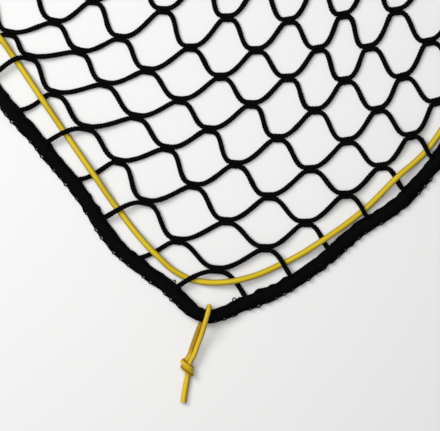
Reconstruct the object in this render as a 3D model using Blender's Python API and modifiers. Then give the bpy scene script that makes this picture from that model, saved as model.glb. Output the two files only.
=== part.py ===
"""A cargo net that lies loose on a flat surface.

Knotless netting in a knitted border, an elastic cord woven round it just inside the border, and a
tie cord at each corner. Metres, +Z up, with the origin on the surface at the middle of the border.
"""

import math
from collections import namedtuple

import bmesh
import bpy
from mathutils import Matrix, Vector

MM = 0.001

# Driving dimensions, in millimetres
COLUMNS = 14  # meshes along X
ROWS = 12  # meshes along Y
TWINE = 4.8  # thickness of the netting's bars
BAR_WIDTH = 5.3
JOINT_LENGTH = 14.0  # where two bars run side by side
JOINT_WIDTH = 8.4
JOINT_TAPER = 0.35  # share of a joint's width by which its shoulders stand back from its tips
JOINT_PULL = 0.56  # a joint lies between the bars along X and along Y: how far it follows the former
VIEW_TURN = -40.0  # degrees from +X to the line that the joints lie along on average
# How far a bar keeps to the direction of each of its ends, as shares of its length
BEND_ALONG = 0.32, 0.12  # bars along X leave their joint level and meet the next one steeply
BEND_ACROSS = 0.3, 0.34  # bars along Y
BEND_EDGE = 0.3, 0.3  # bars that meet the border
BEND_DRAGGED = 0.15, 0.45  # those that the elastic on top of them drags along the left side
BORDER_WIDTH = 15.6
BORDER_HEIGHT = 8.4
ELASTIC_DIAMETER = 6.0
TIE_DIAMETER = 5.2
TAIL_DIAMETER = 6.0  # the sheath is looser at the free end
GAP = 0.35  # left between pieces that touch
BAR_END_GAP = 0.6  # a bar's square end meets the border's curved edge
CROSSING_GAP = 0.6  # beyond the elastic's own radius, where a bar is still level
CORNER_LIFT = 6.6  # the border's corners lie on their tie cords
CORNER_REACH = 1.0  # meshes over which that lift dies out
CORNER_PINCH = 0.82  # the tie draws the band in to this share of its section
ELASTIC_CORNER = 3.0  # how far the elastic bulges towards each corner
RAISED_KNOT = 5.2  # height of a joint whose bar rides over the elastic

# Heights of centre lines above the surface
TWINE_REST = TWINE / 2
BAR_AT_BORDER = 4.6
ELASTIC_LOW = ELASTIC_DIAMETER / 2 + 0.1
ELASTIC_HIGH = TWINE + GAP + ELASTIC_DIAMETER / 2
BAR_OVER = ELASTIC_LOW + ELASTIC_DIAMETER / 2 + GAP + TWINE / 2
BAR_OVER_AT_BORDER = BAR_OVER - 1.5

# How the border lies, mesh by mesh from the near left corner. elastic is the way along a bar from
# the border's inner edge to the elastic cord.
Station = namedtuple("Station", "mesh x y elastic")
NEAR_SIDE = [
    Station(0, 0, 0, 18),
    Station(1, 43, -19, 16.3),
    Station(2, 90, -32, 11.8),
    Station(3, 136, -38, 7.6),
    Station(4, 186, -41, 5.6),
    Station(5, 233, -41, 11.2),
    Station(6, 275, -36, 6.6),
    Station(8, 360, -16, 11),
    Station(10, 447, -3, 10),
    Station(12, 535, -8, 13),
    Station(14, 618, -2, 18),
]
LEFT_SIDE = [
    Station(0, 0, 0, 18),
    Station(1, -9, 38, 13.2),
    Station(2, -18, 87, 10.3),
    Station(3, -19, 138, 14.3),
    Station(4, -15, 185, 11.0),
    Station(5, -18, 229, 17.5),
    Station(6, -20, 274, 19.4),
    Station(7, -16, 313, 24.4),
    Station(8, -16, 347, 25),
    Station(10, -6, 436, 14),
    Station(12, 0, 528, 18),
]
GATHER_X = -10.0  # how far the middle of the panel is drawn aside
GATHER_Y = -36.0
EDGE_MESH_X = 7.0  # how much longer the outermost meshes are than the others
EDGE_MESH_Y = 9.0
# Places where the net was pulled out of line: mesh lines, and the pull there along X and Y
Tug = namedtuple("Tug", "p q x y")
TUGS = [
    Tug(1, 7, 0, 11),
    Tug(4, 6.5, -4, -6),
    Tug(2.5, 8, -4, -5),
    Tug(6, 2, 5, 1),
    Tug(1, 2, -4, -1),
    Tug(5, 5, -4, 2),
    Tug(1, 5, 0, 5),
    Tug(10, 3, 6, -5),
    Tug(12.5, 6, -5, 6),
    Tug(9, 7, 5, 6),
    Tug(6, 10, 5, 5),
    Tug(11, 10, -6, -4),
    Tug(3, 11, 4, -6),
    Tug(3, 7, -5, -2),
    Tug(2, 7.5, 0, -5),
    Tug(7.5, 3.5, -5, 2),
    Tug(3.5, 1.5, 4, 1),
    Tug(2, 1, 2.5, -1),
    Tug(0, 0, -4, -4.6),
    Tug(14, 0, 3, -3),
    Tug(14, 12, 3, 3),
    Tug(0, 12, -3, 3),
]
TUG_REACH = 1.1  # meshes
HOLD_FROM = 0.42  # share of the panel that follows its near side or its left side
HOLD_FAR = -0.6  # how the far sides repeat the near ones, turned outward
# How far the border bows outward, by meshes round it from the near left corner
Bow = namedtuple("Bow", "mesh out")
BOWS = [
    Bow(-9, 0),
    Bow(-8, 0),
    Bow(-6, -2.8),
    Bow(-5.3, -2.9),
    Bow(-4.4, 0.3),
    Bow(-3.4, 0.2),
    Bow(-2.6, 2.6),
    Bow(-1.75, 0),
    Bow(-1.1, -2.1),
    Bow(-0.3, 0),
    Bow(0.3, 1.0),
    Bow(0.8, -0.3),
    Bow(1.7, 2.1),
    Bow(2.8, 0),
    Bow(3.7, -3.5),
    Bow(4.6, 0.9),
    Bow(5.5, -0.8),
    Bow(6.5, -1.5),
    Bow(8, 0),
    Bow(9, 0),
]

# The border's section, as shares of half its width and of its height
SectionPoint = namedtuple("SectionPoint", "aside up")
BORDER_SECTION = [
    SectionPoint(-1.0, 0.42),
    SectionPoint(-0.6, 1.0),
    SectionPoint(0.6, 1.0),
    SectionPoint(1.0, 0.42),
    SectionPoint(0.72, 0.0),
    SectionPoint(-0.72, 0.0),
]
CORNER_MESHES = [0, COLUMNS, COLUMNS + ROWS, 2 * COLUMNS + ROWS]  # meshes round the rim to each corner

RIM_STEPS = 4  # points of the border's centre line for each mesh
RIM_ROUNDING = 3  # times that the centre line is averaged, which rounds its corners

# The tie cord, from the border's corner: out, side and height of its centre line
TieStop = namedtuple("TieStop", "out side height")
TIE_LOOP = [
    TieStop(42.1, -12.0, 8.4),
    TieStop(36.5, -9.4, 8.5),
    TieStop(29.0, -6.8, 9.0),
    TieStop(20.0, -3.4, 11.0),
    TieStop(11.0, -0.6, 14.4),
    TieStop(2.5, 1.9, 16.6),
    TieStop(-4.8, 3.9, 16.4),
    TieStop(-10.4, 4.8, 12.2),
    TieStop(-10.7, 4.5, 7.0),
    TieStop(-6.4, 3.2, 2.8),
    TieStop(2.0, -0.4, 2.7),
    TieStop(12.0, -5.2, 2.7),
    TieStop(24.0, -9.6, 2.7),
    TieStop(35.0, -13.3, 2.7),
    TieStop(42.1, -15.6, 2.8),
]
TIE_TAIL = [
    TieStop(60.9, -16.9, 3.6),
    TieStop(68.5, -18.4, 3.1),
    TieStop(78.5, -20.1, 3.1),
    TieStop(86.8, -21.3, 3.1),
]
TIE_POINTS = 2  # points of the tube for each stop of the route
KNOT_MIDDLE = TieStop(51.7, -16.6, 5.6)
KNOT_LENGTH = 17.0
KNOT_WIDTH = 13.0
KNOT_HEIGHT = 11.6
KNOT_BLUNTNESS = 0.62  # 1 is an ellipsoid, and less is squarer at both ends
KNOT_WRAP_DEPTH = 0.1  # how deep the grooves between the knot's turns are, as a share of its width
KNOT_WRAPS = 3
KNOT_WRAP_TURN = 2.4  # radians that the turns go round, from one end of the knot to the other

# Colours as linear red, green and blue
TWINE_BLACK = (0.012, 0.012, 0.014)
BORDER_BLACK = (0.016, 0.016, 0.018)
ELASTIC_YELLOW = (0.72, 0.55, 0.03)
TIE_YELLOW = (0.78, 0.47, 0.04)


def read(stations, column, mesh):
    """A column of a station table at any mesh, on a smooth curve through the stations."""
    last = len(stations) - 2
    i = max(k for k in range(last + 1) if k == 0 or stations[k].mesh <= mesh)

    def value(k):
        return getattr(stations[k], column)

    def slope(k):
        before, after = max(k - 1, 0), min(k + 1, last + 1)
        return (value(after) - value(before)) / (stations[after].mesh - stations[before].mesh)

    span = stations[i + 1].mesh - stations[i].mesh
    t = (mesh - stations[i].mesh) / span
    rise = value(i + 1) - value(i)
    return (
        value(i)
        + rise * t * t * (3 - 2 * t)
        + span * t * (1 - t) * (slope(i) * (1 - t) - slope(i + 1) * t)
    )


def ease(t):
    """From 0 to 1 and level at both ends."""
    t = min(max(t, 0.0), 1.0)
    return t * t * (3 - 2 * t)


def hold(mesh, count):
    """How much of the near side's waves a mesh line shares, by its distance from that side."""
    return 1 + (HOLD_FAR - 1) * ease((mesh / count - HOLD_FROM) / (1 - HOLD_FROM))


def crossing(p, q):
    """Where the panel's mesh lines p and q cross, in plan, from the near left corner."""
    gather = math.sin(math.pi * p / COLUMNS) * math.sin(math.pi * q / ROWS)
    inside = min(p, COLUMNS - p, q, ROWS - q, 1)
    held_p, held_q = hold(p, COLUMNS), hold(q, ROWS)
    x = read(NEAR_SIDE, "x", p) + (read(LEFT_SIDE, "x", q) + EDGE_MESH_X * inside) * held_p
    y = read(LEFT_SIDE, "y", q) + (read(NEAR_SIDE, "y", p) + EDGE_MESH_Y * inside) * held_q
    at = Vector((x + GATHER_X * gather, y + GATHER_Y * gather))
    for tug in TUGS:
        away = math.hypot(p - tug.p, q - tug.q) / TUG_REACH
        at += Vector((tug.x, tug.y)) * math.exp(-away * away)
    return at


def bowed(points):
    """The border's centre line again, moved out or in where it bows."""
    made = []
    for i, at in enumerate(points):
        tangent = (points[(i + 1) % len(points)] - points[i - 1]).normalized()
        mesh = i / RIM_STEPS
        if mesh > COLUMNS + ROWS:
            mesh -= 2 * (COLUMNS + ROWS)
        mesh = min(max(mesh, BOWS[0].mesh), BOWS[-1].mesh)
        made.append(at + Vector((tangent.y, -tangent.x)) * read(BOWS, "out", mesh))
    return made


def rim():
    """The border's centre line in plan, anticlockwise, its corners rounded by averaging."""
    steps = RIM_STEPS
    across, up = COLUMNS * steps, ROWS * steps
    stops = [(i, 0) for i in range(across)]
    stops += [(across, i) for i in range(up)]
    stops += [(across - i, up) for i in range(across)]
    stops += [(0, up - i) for i in range(up)]
    points = [crossing(i / steps, j / steps) for i, j in stops]
    for _ in range(RIM_ROUNDING):
        around = zip(points[-1:] + points[:-1], points, points[1:] + points[:1])
        points = [(a + 2 * b + c) / 4 for a, b, c in around]
    return bowed(points)


RIM = rim()
MIDDLE = Vector(
    [(min(at[axis] for at in RIM) + max(at[axis] for at in RIM)) / 2 for axis in range(2)]
)
ALONG = Vector((math.cos(math.radians(VIEW_TURN)), math.sin(math.radians(VIEW_TURN))))
ASIDE = Vector((-ALONG.y, ALONG.x))


def placed(plan, height):
    """A point in metres, from its place in plan and its height in millimetres."""
    return Vector((plan.x - MIDDLE.x, plan.y - MIDDLE.y, height)) * MM


def cornering(i):
    """1 where the border's centre line turns a corner, and 0 away from the corners."""
    round_the_rim = 2 * (COLUMNS + ROWS)
    away = min(abs(i / RIM_STEPS - corner) for corner in CORNER_MESHES + [round_the_rim])
    return ease(1 - away / CORNER_REACH)


# The four sides: the rim's mesh at each side's start, which way the rim runs from there, and the
# table that says how the side lies
Side = namedtuple("Side", "name first turn count table along_x")
SIDES = [
    Side("near", 0, 1, COLUMNS, NEAR_SIDE, True),
    Side("right", COLUMNS, 1, ROWS, LEFT_SIDE, False),
    Side("far", 2 * COLUMNS + ROWS, -1, COLUMNS, NEAR_SIDE, True),
    Side("left", 2 * (COLUMNS + ROWS), -1, ROWS, LEFT_SIDE, False),
]


def inner_edge(side, n):
    """Where bar n of a side meets the border: the rim's point and its inward direction."""
    i = (side.first + side.turn * n) * RIM_STEPS % len(RIM)
    tangent = (RIM[(i + 1) % len(RIM)] - RIM[i - 1]).normalized()
    return RIM[i], Vector((-tangent.y, tangent.x))


def rides_over(side, n):
    """Whether bar n of a side passes over the elastic: every second one does, all the way round."""
    return (n % 2 == 0) if side.along_x else (n % 2 == 1)


def first_knot(side, n):
    """The joint that bar n of a side runs to, as its mesh lines."""
    if side.along_x:
        return (n, 1) if side.name == "near" else (n, ROWS - 1)
    return (1, n) if side.name == "left" else (COLUMNS - 1, n)


def joint_height(p, q):
    """Centre height of a joint: raised next to the border where its bar rides over the elastic."""
    raised = (q in (1, ROWS - 1) and p % 2 == 0) or (p in (1, COLUMNS - 1) and q % 2 == 1)
    return RAISED_KNOT if raised else TWINE_REST


def joint_way(p, q):
    """The line that a joint lies along: between the ways of the bars that pull at it."""
    along_x = (crossing(p + 1, q) - crossing(p - 1, q)).normalized()
    along_y = (crossing(p, q - 1) - crossing(p, q + 1)).normalized()
    return (along_x * JOINT_PULL + along_y * (1 - JOINT_PULL)).normalized()


def joint_corner(p, q, name):
    """One of a joint's six corners in plan. A bar leaves from each slanted edge between them."""
    half_length, half_width = JOINT_LENGTH / 2, JOINT_WIDTH / 2
    shoulder = half_length - JOINT_TAPER * JOINT_WIDTH
    reach = {
        "left": (-half_length, 0),
        "upper_left": (-shoulder, half_width),
        "upper_right": (shoulder, half_width),
        "right": (half_length, 0),
        "lower_right": (shoulder, -half_width),
        "lower_left": (-shoulder, -half_width),
    }[name]
    way = joint_way(p, q)
    return crossing(p, q) + way * reach[0] + Vector((-way.y, way.x)) * reach[1]


JOINT_OUTLINE = ["left", "lower_left", "lower_right", "right", "upper_right", "upper_left"]
# Each bar's root on a joint: its edge's corners, on the left and the right of the way to the right
ROOTS = {
    "up_right": ("upper_right", "right"),
    "down_right": ("right", "lower_right"),
    "down_left": ("left", "lower_left"),
    "up_left": ("upper_left", "left"),
}


def root_middle(p, q, root):
    return (joint_corner(p, q, ROOTS[root][0]) + joint_corner(p, q, ROOTS[root][1])) / 2


def bend(start, leave, end, arrive, shares, t):
    """A point on the curve from start to end with those directions, and its own direction."""
    length = (end - start).length
    a, b = start + leave * length * shares[0], end - arrive * length * shares[1]
    s = 1 - t
    at = start * s**3 + a * (3 * s * s * t) + b * (3 * s * t * t) + end * t**3
    way = (a - start) * s * s + (b - a) * (2 * s * t) + (end - b) * t * t
    return at, way.normalized()


class Panel:
    """The netting as one flat sheet of joints and bars, before it gets its thickness."""

    def __init__(self):
        self.mesh = bmesh.new()
        self.corners = {}

    def corner(self, p, q, name):
        """A joint's corner, made once and shared by the bars that meet there."""
        key = (p, q, name)
        if key not in self.corners:
            at = placed(joint_corner(p, q, name), joint_height(p, q))
            self.corners[key] = self.mesh.verts.new(at)
        return self.corners[key]

    def section(self, at, way, height):
        """The two edge points of a bar at one place, left and right of its way."""
        left = Vector((-way.y, way.x)) * (BAR_WIDTH / 2)
        return [self.mesh.verts.new(placed(at + left * side, height)) for side in (1, -1)]

    def joint(self, p, q):
        self.mesh.faces.new([self.corner(p, q, name) for name in JOINT_OUTLINE])

    def root(self, p, q, name):
        return [self.corner(p, q, corner) for corner in ROOTS[name]]

    def strip(self, sections):
        for (left, right), (next_left, next_right) in zip(sections, sections[1:]):
            self.mesh.faces.new([left, right, next_right, next_left])

    def bar(self, start, leave_root, end, arrive_root, shares):
        """A bar between two joints, from the right end of one to the left end of the other."""
        a, b = root_middle(*start, leave_root), root_middle(*end, arrive_root)
        leave, arrive = joint_way(*start), joint_way(*end)
        heights = [joint_height(*start), joint_height(*end)]
        sections = [self.root(*start, leave_root)]
        for t in (1 / 3, 2 / 3):
            at, way = bend(a, leave, b, arrive, shares, t)
            height = heights[0] + (heights[1] - heights[0]) * ease(t)
            sections.append(self.section(at, way, height))
        sections.append(self.root(*end, arrive_root))
        self.strip(sections)

    def edge_bar(self, side, n):
        """A bar from its joint to the border, over or under the elastic."""
        route = edge_route(side, n)
        root = self.root(*first_knot(side, n), EDGE_ROOTS[side.name])
        if side.name in ("far", "left"):
            root.reverse()
        self.strip([root] + [self.section(*stop) for stop in route.stops])


EdgeRoute = namedtuple("EdgeRoute", "stops elastic")
EDGE_ROOTS = {"near": "down_right", "right": "up_right", "far": "up_left", "left": "down_left"}


def edge_route(side, n):
    """How bar n of a side runs from its joint to the border, and where the elastic crosses it."""
    knot = first_knot(side, n)
    start = root_middle(*knot, EDGE_ROOTS[side.name])
    border, inward = inner_edge(side, n)
    leave = joint_way(*knot) * (-1 if side.name in ("far", "left") else 1)
    way = ((border - start).normalized() - inward).normalized()
    over = rides_over(side, n)
    shares = BEND_EDGE
    if side.name == "left" and not over:
        way, shares = (way + leave).normalized(), BEND_DRAGGED
    end = border - way * ((BORDER_WIDTH / 2 + BAR_END_GAP) / -way.dot(inward))
    length = (end - start).length

    def along(distance):
        return bend(start, leave, end, way, shares, 1 - distance / length)

    height = BAR_OVER if over else TWINE_REST
    cross = read(side.table, "elastic", n)
    clear = ELASTIC_DIAMETER / 2 + CROSSING_GAP
    halfway = (length + cross + clear) / 2
    stops = [
        (*along(halfway), (height + joint_height(*knot)) / 2),
        (*along(cross + clear), height),
    ]
    if cross > clear + BAR_WIDTH:
        stops.append((*along(cross - clear), height))
        height = BAR_OVER_AT_BORDER if over else BAR_AT_BORDER
    stops.append((end, -inward, height))
    return EdgeRoute(stops, along(cross)[0])


def material(name, colour, roughness):
    made = bpy.data.materials.new(name)
    made.use_nodes = True
    shader = made.node_tree.nodes["Principled BSDF"]
    shader.inputs["Base Color"].default_value = (*colour, 1)
    shader.inputs["Roughness"].default_value = roughness
    made.diffuse_color = (*colour, 1)
    return made


def add(name, data, collection, finish):
    made = bpy.data.objects.new(name, data)
    data.materials.append(finish)
    collection.objects.link(made)
    return made


def make_net(collection, finish):
    panel = Panel()
    for p in range(1, COLUMNS):
        for q in range(1, ROWS):
            panel.joint(p, q)
            if p < COLUMNS - 1:
                panel.bar((p, q), "up_right", (p + 1, q), "down_left", BEND_ALONG)
            if q > 1:
                panel.bar((p, q), "down_right", (p, q - 1), "up_left", BEND_ACROSS)
    for side in SIDES:
        for n in range(1, side.count):
            panel.edge_bar(side, n)
    data = bpy.data.meshes.new("net")
    panel.mesh.normal_update()
    panel.mesh.to_mesh(data)
    panel.mesh.free()
    net = add("net", data, collection, finish)
    solid = net.modifiers.new("Thickness", "SOLIDIFY")
    solid.thickness = TWINE * MM
    solid.offset = 0


def polyline(name, points, collection, finish, cyclic):
    data = bpy.data.curves.new(name, "CURVE")
    data.dimensions = "3D"
    spline = data.splines.new("POLY")
    spline.points.add(len(points) - 1)
    for point, at in zip(spline.points, points):
        point.co = (*at, 1)
    spline.use_cyclic_u = cyclic
    return add(name, data, collection, finish)


def make_border(collection, guides, finish):
    """The knitted band: a flat-bottomed section carried round the rim."""
    scale = Vector((BORDER_WIDTH / 2, BORDER_HEIGHT, 0)) * MM
    outline = [Vector((at.aside, at.up, 0)) * scale for at in BORDER_SECTION]
    profile = polyline("border_section", outline, guides, finish, True)
    profile.hide_render = True
    profile.display_type = "WIRE"
    points = [placed(at, CORNER_LIFT * cornering(i)) for i, at in enumerate(RIM)]
    border = polyline("border", points, collection, finish, True)
    for i, point in enumerate(border.data.splines[0].points):
        point.radius = 1 - (1 - CORNER_PINCH) * cornering(i)
    border.data.twist_mode = "Z_UP"
    border.data.bevel_mode = "OBJECT"
    border.data.bevel_object = profile


def elastic_points():
    """The elastic's centre line: level across each bar, and one point between two bars."""
    stops = []
    for side in SIDES:
        bars = range(1, side.count)
        for n in bars if side.turn > 0 else reversed(bars):
            height = ELASTIC_LOW if rides_over(side, n) else ELASTIC_HIGH
            stops.append((side, edge_route(side, n).elastic, height))
    count = len(stops)
    ways = [(stops[(k + 1) % count][1] - stops[k - 1][1]).normalized() for k in range(count)]
    points = []
    clear = BAR_WIDTH / 2 + ELASTIC_DIAMETER / 2
    for k, (side, at, height) in enumerate(stops):
        next_side, following, next_height = stops[(k + 1) % count]
        way, next_way = ways[k], ways[(k + 1) % count]
        leave, arrive = at + way * clear, following - next_way * clear
        points += [placed(at - way * clear, height), placed(leave, height)]
        if next_side.name == side.name:
            bulge = (way - next_way) * ((arrive - leave).length / 8)
            middle = (leave + arrive) / 2 + bulge
        else:
            turn_at = side.first + (side.count if side.turn > 0 else 0)
            middle = (at + following) / 2
            outward = (RIM[turn_at * RIM_STEPS % len(RIM)] - middle).normalized()
            middle += outward * ELASTIC_CORNER
        points.append(placed(middle, (height + next_height) / 2))
    return points


def smooth_route(points, per_span):
    """Points on a smooth curve through the given ones, per_span for each stretch between two."""
    ends = [2 * points[0] - points[1]] + points + [2 * points[-1] - points[-2]]
    route = []
    for a, b, c, d in zip(ends, ends[1:], ends[2:], ends[3:]):
        for k in range(per_span):
            t = k / per_span
            bend_in = (2 * a - 5 * b + 4 * c - d) * t * t
            bend_out = (3 * b - a - 3 * c + d) * t**3
            route.append((2 * b + (c - a) * t + bend_in + bend_out) / 2)
    return route + [points[-1]]


def tie_point(corner, stop):
    """A stop of a tie's route, in metres: each corner's tie is a quarter turn on from the last."""
    quarter = Matrix.Rotation(corner * math.pi / 2, 2)
    away = quarter @ (ALONG * stop.side - ASIDE * stop.out)
    return placed(RIM[CORNER_MESHES[corner] * RIM_STEPS] + away, stop.height)


def make_knot(name, corner, collection, finish):
    """The knot's outer form: a blunt lump with the grooves of its turns, flat where it rests."""
    shape = bmesh.new()
    bmesh.ops.create_uvsphere(shape, u_segments=12, v_segments=8, radius=1)
    lower, upper = tie_point(corner, TIE_TAIL[0]), tie_point(corner, TIE_LOOP[0])
    middle = tie_point(corner, KNOT_MIDDLE)
    way = (lower - upper).xy.normalized()
    for vert in shape.verts:
        round_it, along = Vector((vert.co.x, vert.co.y)), vert.co.z
        turn = math.atan2(round_it.y, round_it.x) - KNOT_WRAP_TURN * along
        fullness = 1 - KNOT_WRAP_DEPTH * (1 - math.cos(KNOT_WRAPS * turn)) / 2
        along = math.copysign(abs(along) ** KNOT_BLUNTNESS, along) * KNOT_LENGTH / 2 * MM
        round_it = round_it * fullness * (max(round_it.length, 1e-6) ** (KNOT_BLUNTNESS - 1))
        aside = round_it.x * KNOT_WIDTH / 2 * MM
        height = middle.z + round_it.y * KNOT_HEIGHT / 2 * MM
        plan = middle.xy + way * along + Vector((-way.y, way.x)) * aside
        vert.co = (plan.x, plan.y, max(height, 0))
    data = bpy.data.meshes.new(name)
    shape.to_mesh(data)
    shape.free()
    data.shade_smooth()
    add(name, data, collection, finish)


def make_tie(corner, collection, finish):
    """A cord round the border's corner, closed by a knot, with one free end."""
    name = f"tie_{corner + 1}"
    loop = smooth_route([tie_point(corner, stop) for stop in TIE_LOOP], TIE_POINTS)
    tail = smooth_route([tie_point(corner, stop) for stop in TIE_TAIL], TIE_POINTS)
    make_tube(f"{name}_loop", loop, TIE_DIAMETER, collection, finish, False)
    make_tube(f"{name}_tail", tail, TAIL_DIAMETER, collection, finish, False)
    make_knot(f"{name}_knot", corner, collection, finish)


def make_tube(name, points, diameter, collection, finish, cyclic):
    tube = polyline(name, points, collection, finish, cyclic)
    tube.data.bevel_depth = diameter / 2 * MM
    tube.data.bevel_resolution = 2
    tube.data.use_fill_caps = not cyclic


def main():
    for leftover in list(bpy.data.objects):
        bpy.data.objects.remove(leftover)
    parts = bpy.data.collections.new("Cargo net")
    guides = bpy.data.collections.new("Guides")
    for collection in (parts, guides):
        bpy.context.scene.collection.children.link(collection)
    twine = material("Black twine", TWINE_BLACK, 0.6)
    knitted = material("Knitted border", BORDER_BLACK, 0.8)
    elastic = material("Yellow elastic", ELASTIC_YELLOW, 0.35)
    make_net(parts, twine)
    make_border(parts, guides, knitted)
    make_tube("elastic_cord", elastic_points(), ELASTIC_DIAMETER, parts, elastic, True)
    tie = material("Braided tie cord", TIE_YELLOW, 0.6)
    for corner in range(len(CORNER_MESHES)):
        make_tie(corner, parts, tie)


main()
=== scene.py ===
# %% [markdown]
# # A cargo net, strand by strand
#
# The real object is a flat net of knotless netting. Its edge is a dense knitted border, a yellow
# elastic cord runs in and out of the netting just inside that border, and a yellow tie cord hangs
# from each corner. We dress the imported solids with the yarns that they stand for, so the shapes
# below are all strands: lines first, then tubes round the lines, then a finish for each fibre.
#
# The solids come from model.glb. They never move, and every piece is made in their coordinates.

# %% Load the imported solids
import math
from collections import namedtuple

import bpy
import numpy as np
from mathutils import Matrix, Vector


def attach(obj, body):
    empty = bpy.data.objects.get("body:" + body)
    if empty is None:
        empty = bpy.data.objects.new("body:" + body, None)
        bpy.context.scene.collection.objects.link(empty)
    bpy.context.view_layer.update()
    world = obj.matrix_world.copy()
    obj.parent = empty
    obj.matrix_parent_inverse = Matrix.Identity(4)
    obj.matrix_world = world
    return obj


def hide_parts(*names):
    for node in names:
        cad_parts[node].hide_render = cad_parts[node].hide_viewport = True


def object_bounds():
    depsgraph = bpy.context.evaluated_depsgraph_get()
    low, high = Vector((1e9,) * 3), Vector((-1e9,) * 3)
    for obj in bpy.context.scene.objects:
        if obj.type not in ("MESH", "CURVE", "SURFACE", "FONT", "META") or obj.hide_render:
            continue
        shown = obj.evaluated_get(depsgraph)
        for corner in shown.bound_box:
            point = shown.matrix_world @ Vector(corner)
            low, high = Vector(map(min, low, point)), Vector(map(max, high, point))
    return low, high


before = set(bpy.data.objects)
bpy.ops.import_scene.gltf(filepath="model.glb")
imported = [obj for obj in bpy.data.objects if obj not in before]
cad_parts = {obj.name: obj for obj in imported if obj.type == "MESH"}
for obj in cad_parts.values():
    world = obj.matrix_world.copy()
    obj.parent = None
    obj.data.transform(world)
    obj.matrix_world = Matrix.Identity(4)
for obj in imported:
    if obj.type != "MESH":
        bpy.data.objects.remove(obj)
cad_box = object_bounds()
MM = 0.001
print("solids:", ", ".join(sorted(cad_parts)))

# %% [markdown]
# ## Where the net lies
#
# A net is a lattice, so it would be easy to make it perfectly even, but a net that was dropped on a
# floor is not. Two short tables say how its near and left sides wander, a third lists the places
# where a hand pulled it out of line, and a fourth says where its border bows. The other two sides
# share the same waves. Places are in millimetres from the near left corner.

# %% The sides
COLUMNS = 14  # meshes along X
ROWS = 12  # meshes along Y

# Where a bar meets the border, and how far along the bar from there the elastic crosses it
Station = namedtuple("Station", "mesh x y elastic")


def table(kind, *rows):
    """Each row of numbers with the names that its kind gives them."""
    return [kind(*row) for row in rows]


NEAR_SIDE = table(
    Station,
    (0, 0, 0, 18), (1, 43, -19, 16.3), (2, 90, -32, 11.8), (3, 136, -38, 7.6),
    (4, 186, -41, 5.6), (5, 233, -41, 11.2), (6, 275, -36, 6.6), (8, 360, -16, 11),
    (10, 447, -3, 10), (12, 535, -8, 13), (14, 618, -2, 18),
)
LEFT_SIDE = table(
    Station,
    (0, 0, 0, 18), (1, -9, 38, 13.2), (2, -18, 87, 10.3), (3, -19, 138, 14.3),
    (4, -15, 185, 11.0), (5, -18, 229, 17.5), (6, -20, 274, 19.4), (7, -16, 313, 24.4),
    (8, -16, 347, 25), (10, -6, 436, 14), (12, 0, 528, 18),
)
print(len(NEAR_SIDE) + len(LEFT_SIDE), "stations on two sides")

# %% Tugs and bows
GATHER_X, GATHER_Y = -10.0, -36.0  # how far the middle of the panel is drawn aside
EDGE_MESH_X, EDGE_MESH_Y = 7.0, 9.0  # how much longer the outermost meshes are
Tug = namedtuple("Tug", "p q x y")
TUGS = table(
    Tug,
    (1, 7, 0, 11), (4, 6.5, -4, -6), (2.5, 8, -4, -5), (6, 2, 5, 1), (1, 2, -4, -1),
    (5, 5, -4, 2), (1, 5, 0, 5), (10, 3, 6, -5), (12.5, 6, -5, 6), (9, 7, 5, 6), (6, 10, 5, 5),
    (11, 10, -6, -4), (3, 11, 4, -6), (3, 7, -5, -2), (2, 7.5, 0, -5), (7.5, 3.5, -5, 2),
    (3.5, 1.5, 4, 1), (2, 1, 2.5, -1), (0, 0, -4, -4.6), (14, 0, 3, -3), (14, 12, 3, 3),
    (0, 12, -3, 3),
)
TUG_REACH = 1.1  # meshes
# How far the border bows outward, by meshes round it from the near left corner
Bow = namedtuple("Bow", "mesh out")
BOWS = table(
    Bow,
    (-9, 0), (-8, 0), (-6, -2.8), (-5.3, -2.9), (-4.4, 0.3), (-3.4, 0.2), (-2.6, 2.6),
    (-1.75, 0), (-1.1, -2.1), (-0.3, 0), (0.3, 1.0), (0.8, -0.3), (1.7, 2.1), (2.8, 0),
    (3.7, -3.5), (4.6, 0.9), (5.5, -0.8), (6.5, -1.5), (8, 0), (9, 0),
)
HOLD_FROM, HOLD_FAR = 0.42, -0.6  # how the far sides repeat the waves of the near ones
JOINT_PULL = 0.56  # how far a joint follows the bars along X, and not those along Y
print(len(TUGS), "tugs and", len(BOWS), "stations of the bows")


# %% Reading the tables
def read(stations, column, mesh):
    """A column of a station table at any mesh, on a smooth curve through the stations."""
    last = len(stations) - 2
    i = max(k for k in range(last + 1) if k == 0 or stations[k].mesh <= mesh)

    def value(k):
        return getattr(stations[k], column)

    def slope(k):
        before, after = max(k - 1, 0), min(k + 1, last + 1)
        return (value(after) - value(before)) / (stations[after].mesh - stations[before].mesh)

    span = stations[i + 1].mesh - stations[i].mesh
    t = (mesh - stations[i].mesh) / span
    rise = value(i + 1) - value(i)
    bow = slope(i) * (1 - t) - slope(i + 1) * t
    return value(i) + rise * t * t * (3 - 2 * t) + span * t * (1 - t) * bow


def ease(t):
    """From 0 to 1 and level at both ends, for a number or an array."""
    t = np.clip(t, 0.0, 1.0)
    return t * t * (3 - 2 * t)


def hold(mesh, count):
    """How far a mesh line repeats the waves of the side that it starts from."""
    return 1 + (HOLD_FAR - 1) * ease((mesh / count - HOLD_FROM) / (1 - HOLD_FROM))


# %% The lattice
def crossing(p, q):
    """Where the mesh lines p and q cross, in plan."""
    gather = math.sin(math.pi * p / COLUMNS) * math.sin(math.pi * q / ROWS)
    inside = min(p, COLUMNS - p, q, ROWS - q, 1)
    aside_x = (read(LEFT_SIDE, "x", q) + EDGE_MESH_X * inside) * hold(p, COLUMNS)
    aside_y = (read(NEAR_SIDE, "y", p) + EDGE_MESH_Y * inside) * hold(q, ROWS)
    x = read(NEAR_SIDE, "x", p) + aside_x + GATHER_X * gather
    y = read(LEFT_SIDE, "y", q) + aside_y + GATHER_Y * gather
    at = np.array([x, y])
    for tug in TUGS:
        away = math.hypot(p - tug.p, q - tug.q) / TUG_REACH
        at = at + np.array([tug.x, tug.y]) * math.exp(-away * away)
    return at


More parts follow.
